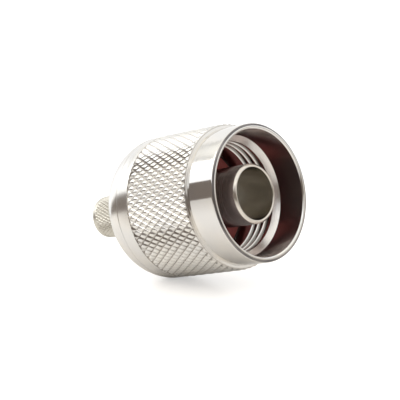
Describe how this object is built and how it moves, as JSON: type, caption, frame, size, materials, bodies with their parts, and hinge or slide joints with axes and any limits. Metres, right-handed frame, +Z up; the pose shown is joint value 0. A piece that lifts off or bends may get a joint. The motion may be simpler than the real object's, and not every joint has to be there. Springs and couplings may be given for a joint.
{
  "type": "coaxial cable connector",
  "caption": "Coaxial cable plug: a diamond-knurled coupling nut turns on a body with a tubular outer contact, a red gasket inside and a knurled crimp stem at the rear.",
  "frame": {"origin": "centre of the outer contact's front face, on the mating axis", "axes": "+X along the mating axis, out of the nut's mouth; the cable leaves towards -X; +Z up"},
  "size_m": [0.0301, 0.0196, 0.0196],
  "materials": {
    "nickel_nut": "bright nickel plating on brass, slightly warm",
    "nickel_body": "bright nickel plating on brass",
    "silicone": "satin red silicone",
    "spring_bronze": "plain bronze spring ring",
    "dielectric": "white dielectric plastic",
    "nickel_stem": "nickel plating over a fine knurl"
  },
  "bodies": {
    "body": {"outer_body": "nickel_body", "gasket": "silicone", "retaining_ring": "spring_bronze", "insulator": "dielectric", "crimp_stem": "nickel_stem"},
    "nut": {"coupling_nut": "nickel_nut"}
  },
  "joints": [
    {"name": "nut_spin", "type": "hinge", "parent": "body", "child": "nut", "pos_m": [-0.0165, 0, 0], "axis": [1, 0, 0], "continuous": true}
  ]
}
